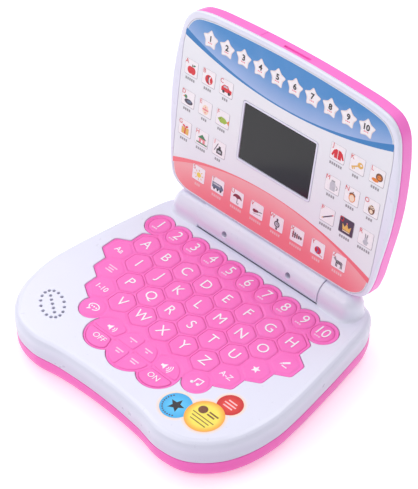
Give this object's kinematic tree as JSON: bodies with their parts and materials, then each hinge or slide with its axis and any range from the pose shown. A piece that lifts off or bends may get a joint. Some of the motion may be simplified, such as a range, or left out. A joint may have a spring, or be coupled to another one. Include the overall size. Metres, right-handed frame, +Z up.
{
  "type": "toy laptop computer",
  "caption": "Child's toy laptop: rounded base with a scalloped honeycomb keypad and speaker grille, and a hinged lid with a printed picture panel around a small dark window.",
  "frame": {"origin": "middle of the bounding box's underside, on the plane the four feet stand on, lid open as stored", "axes": "+X to the user's right, +Y from the user to the hinge, +Z up"},
  "size_m": [0.2102, 0.191, 0.1873],
  "materials": {
    "white_shell": "smooth moulded, slightly cool white",
    "pink_shell": "smooth moulded",
    "pink_keypad": "satin soft moulding",
    "picture_print": "printed semi-gloss card",
    "dark_window": "polished, tinted",
    "bare_steel": "plated",
    "circuit_board": "lacquered",
    "contact_film": "matte film",
    "speaker_frame": "black lacquer",
    "battery_case": "plain sleeve",
    "foot_rubber": "matte"
  },
  "bodies": {
    "base": {"base_top_shell": "white_shell", "base_bottom_shell": "pink_shell", "keypad_mat": "pink_keypad", "key_membrane": "contact_film", "main_circuit_board": "circuit_board", "speaker": "speaker_frame", "battery_door": "pink_shell", "battery_door_screw": "bare_steel", "battery_cell_1": "battery_case", "battery_cell_2": "battery_case", "battery_cell_3": "battery_case", "rubber_foot_1": "foot_rubber", "rubber_foot_2": "foot_rubber", "rubber_foot_3": "foot_rubber", "rubber_foot_4": "foot_rubber", "hinge_pin_left": "bare_steel", "hinge_pin_right": "bare_steel"},
    "lid": {"lid_front_frame": "white_shell", "lid_back_shell": "pink_shell", "picture_panel": "picture_print", "screen_window": "dark_window", "hinge_barrel": "white_shell"},
    "cap_1": {"key_1": "pink_keypad"},
    "cap_2": {"key_2": "pink_keypad"},
    "cap_3": {"key_3": "pink_keypad"},
    "cap_4": {"key_4": "pink_keypad"},
    "cap_5": {"key_5": "pink_keypad"},
    "cap_6": {"key_6": "pink_keypad"},
    "cap_7": {"key_7": "pink_keypad"},
    "cap_8": {"key_8": "pink_keypad"},
    "cap_9": {"key_9": "pink_keypad"},
    "cap_10": {"key_10": "pink_keypad"},
    "cap_A": {"key_A": "pink_keypad"},
    "cap_B": {"key_B": "pink_keypad"},
    "cap_C": {"key_C": "pink_keypad"},
    "cap_D": {"key_D": "pink_keypad"},
    "cap_E": {"key_E": "pink_keypad"},
    "cap_F": {"key_F": "pink_keypad"},
    "cap_G": {"key_G": "pink_keypad"},
    "cap_H": {"key_H": "pink_keypad"},
    "cap_I": {"key_I": "pink_keypad"},
    "cap_J": {"key_J": "pink_keypad"},
    "cap_K": {"key_K": "pink_keypad"},
    "cap_L": {"key_L": "pink_keypad"},
    "cap_M": {"key_M": "pink_keypad"},
    "cap_N": {"key_N": "pink_keypad"},
    "cap_O": {"key_O": "pink_keypad"},
    "cap_P": {"key_P": "pink_keypad"},
    "cap_Q": {"key_Q": "pink_keypad"},
    "cap_R": {"key_R": "pink_keypad"},
    "cap_S": {"key_S": "pink_keypad"},
    "cap_T": {"key_T": "pink_keypad"},
    "cap_U": {"key_U": "pink_keypad"},
    "cap_V": {"key_V": "pink_keypad"},
    "cap_W": {"key_W": "pink_keypad"},
    "cap_X": {"key_X": "pink_keypad"},
    "cap_Y": {"key_Y": "pink_keypad"},
    "cap_Z": {"key_Z": "pink_keypad"},
    "cap_OFF": {"key_OFF": "pink_keypad"},
    "cap_ON": {"key_ON": "pink_keypad"}
  },
  "joints": [
    {"name": "lid_hinge", "type": "hinge", "parent": "base", "child": "lid", "pos_m": [0, 0.06167, 0.0385], "axis": [1, 0, 0], "range_deg": [-25, 99]},
    {"name": "press_1", "type": "slide", "parent": "base", "child": "cap_1", "axis": [0, 0, 1], "range_m": [-0.0008, 0], "stiffness_N_per_m": 80, "springref_m": 0.004},
    {"name": "press_2", "type": "slide", "parent": "base", "child": "cap_2", "axis": [0, 0, 1], "range_m": [-0.0008, 0], "stiffness_N_per_m": 80, "springref_m": 0.004},
    {"name": "press_3", "type": "slide", "parent": "base", "child": "cap_3", "axis": [0, 0, 1], "range_m": [-0.0008, 0], "stiffness_N_per_m": 80, "springref_m": 0.004},
    {"name": "press_4", "type": "slide", "parent": "base", "child": "cap_4", "axis": [0, 0, 1], "range_m": [-0.0008, 0], "stiffness_N_per_m": 80, "springref_m": 0.004},
    {"name": "press_5", "type": "slide", "parent": "base", "child": "cap_5", "axis": [0, 0, 1], "range_m": [-0.0008, 0], "stiffness_N_per_m": 80, "springref_m": 0.004},
    {"name": "press_6", "type": "slide", "parent": "base", "child": "cap_6", "axis": [0, 0, 1], "range_m": [-0.0008, 0], "stiffness_N_per_m": 80, "springref_m": 0.004},
    {"name": "press_7", "type": "slide", "parent": "base", "child": "cap_7", "axis": [0, 0, 1], "range_m": [-0.0008, 0], "stiffness_N_per_m": 80, "springref_m": 0.004},
    {"name": "press_8", "type": "slide", "parent": "base", "child": "cap_8", "axis": [0, 0, 1], "range_m": [-0.0008, 0], "stiffness_N_per_m": 80, "springref_m": 0.004},
    {"name": "press_9", "type": "slide", "parent": "base", "child": "cap_9", "axis": [0, 0, 1], "range_m": [-0.0008, 0], "stiffness_N_per_m": 80, "springref_m": 0.004},
    {"name": "press_10", "type": "slide", "parent": "base", "child": "cap_10", "axis": [0, 0, 1], "range_m": [-0.0008, 0], "stiffness_N_per_m": 80, "springref_m": 0.004},
    {"name": "press_A", "type": "slide", "parent": "base", "child": "cap_A", "axis": [0, 0, 1], "range_m": [-0.0008, 0], "stiffness_N_per_m": 80, "springref_m": 0.004},
    {"name": "press_B", "type": "slide", "parent": "base", "child": "cap_B", "axis": [0, 0, 1], "range_m": [-0.0008, 0], "stiffness_N_per_m": 80, "springref_m": 0.004},
    {"name": "press_C", "type": "slide", "parent": "base", "child": "cap_C", "axis": [0, 0, 1], "range_m": [-0.0008, 0], "stiffness_N_per_m": 80, "springref_m": 0.004},
    {"name": "press_D", "type": "slide", "parent": "base", "child": "cap_D", "axis": [0, 0, 1], "range_m": [-0.0008, 0], "stiffness_N_per_m": 80, "springref_m": 0.004},
    {"name": "press_E", "type": "slide", "parent": "base", "child": "cap_E", "axis": [0, 0, 1], "range_m": [-0.0008, 0], "stiffness_N_per_m": 80, "springref_m": 0.004},
    {"name": "press_F", "type": "slide", "parent": "base", "child": "cap_F", "axis": [0, 0, 1], "range_m": [-0.0008, 0], "stiffness_N_per_m": 80, "springref_m": 0.004},
    {"name": "press_G", "type": "slide", "parent": "base", "child": "cap_G", "axis": [0, 0, 1], "range_m": [-0.0008, 0], "stiffness_N_per_m": 80, "springref_m": 0.004},
    {"name": "press_H", "type": "slide", "parent": "base", "child": "cap_H", "axis": [0, 0, 1], "range_m": [-0.0008, 0], "stiffness_N_per_m": 80, "springref_m": 0.004},
    {"name": "press_I", "type": "slide", "parent": "base", "child": "cap_I", "axis": [0, 0, 1], "range_m": [-0.0008, 0], "stiffness_N_per_m": 80, "springref_m": 0.004},
    {"name": "press_J", "type": "slide", "parent": "base", "child": "cap_J", "axis": [0, 0, 1], "range_m": [-0.0008, 0], "stiffness_N_per_m": 80, "springref_m": 0.004},
    {"name": "press_K", "type": "slide", "parent": "base", "child": "cap_K", "axis": [0, 0, 1], "range_m": [-0.0008, 0], "stiffness_N_per_m": 80, "springref_m": 0.004},
    {"name": "press_L", "type": "slide", "parent": "base", "child": "cap_L", "axis": [0, 0, 1], "range_m": [-0.0008, 0], "stiffness_N_per_m": 80, "springref_m": 0.004},
    {"name": "press_M", "type": "slide", "parent": "base", "child": "cap_M", "axis": [0, 0, 1], "range_m": [-0.0008, 0], "stiffness_N_per_m": 80, "springref_m": 0.004},
    {"name": "press_N", "type": "slide", "parent": "base", "child": "cap_N", "axis": [0, 0, 1], "range_m": [-0.0008, 0], "stiffness_N_per_m": 80, "springref_m": 0.004},
    {"name": "press_O", "type": "slide", "parent": "base", "child": "cap_O", "axis": [0, 0, 1], "range_m": [-0.0008, 0], "stiffness_N_per_m": 80, "springref_m": 0.004},
    {"name": "press_P", "type": "slide", "parent": "base", "child": "cap_P", "axis": [0, 0, 1], "range_m": [-0.0008, 0], "stiffness_N_per_m": 80, "springref_m": 0.004},
    {"name": "press_Q", "type": "slide", "parent": "base", "child": "cap_Q", "axis": [0, 0, 1], "range_m": [-0.0008, 0], "stiffness_N_per_m": 80, "springref_m": 0.004},
    {"name": "press_R", "type": "slide", "parent": "base", "child": "cap_R", "axis": [0, 0, 1], "range_m": [-0.0008, 0], "stiffness_N_per_m": 80, "springref_m": 0.004},
    {"name": "press_S", "type": "slide", "parent": "base", "child": "cap_S", "axis": [0, 0, 1], "range_m": [-0.0008, 0], "stiffness_N_per_m": 80, "springref_m": 0.004},
    {"name": "press_T", "type": "slide", "parent": "base", "child": "cap_T", "axis": [0, 0, 1], "range_m": [-0.0008, 0], "stiffness_N_per_m": 80, "springref_m": 0.004},
    {"name": "press_U", "type": "slide", "parent": "base", "child": "cap_U", "axis": [0, 0, 1], "range_m": [-0.0008, 0], "stiffness_N_per_m": 80, "springref_m": 0.004},
    {"name": "press_V", "type": "slide", "parent": "base", "child": "cap_V", "axis": [0, 0, 1], "range_m": [-0.0008, 0], "stiffness_N_per_m": 80, "springref_m": 0.004},
    {"name": "press_W", "type": "slide", "parent": "base", "child": "cap_W", "axis": [0, 0, 1], "range_m": [-0.0008, 0], "stiffness_N_per_m": 80, "springref_m": 0.004},
    {"name": "press_X", "type": "slide", "parent": "base", "child": "cap_X", "axis": [0, 0, 1], "range_m": [-0.0008, 0], "stiffness_N_per_m": 80, "springref_m": 0.004},
    {"name": "press_Y", "type": "slide", "parent": "base", "child": "cap_Y", "axis": [0, 0, 1], "range_m": [-0.0008, 0], "stiffness_N_per_m": 80, "springref_m": 0.004},
    {"name": "press_Z", "type": "slide", "parent": "base", "child": "cap_Z", "axis": [0, 0, 1], "range_m": [-0.0008, 0], "stiffness_N_per_m": 80, "springref_m": 0.004},
    {"name": "press_OFF", "type": "slide", "parent": "base", "child": "cap_OFF", "axis": [0, 0, 1], "range_m": [-0.0008, 0], "stiffness_N_per_m": 80, "springref_m": 0.004},
    {"name": "press_ON", "type": "slide", "parent": "base", "child": "cap_ON", "axis": [0, 0, 1], "range_m": [-0.0008, 0], "stiffness_N_per_m": 80, "springref_m": 0.004}
  ]
}
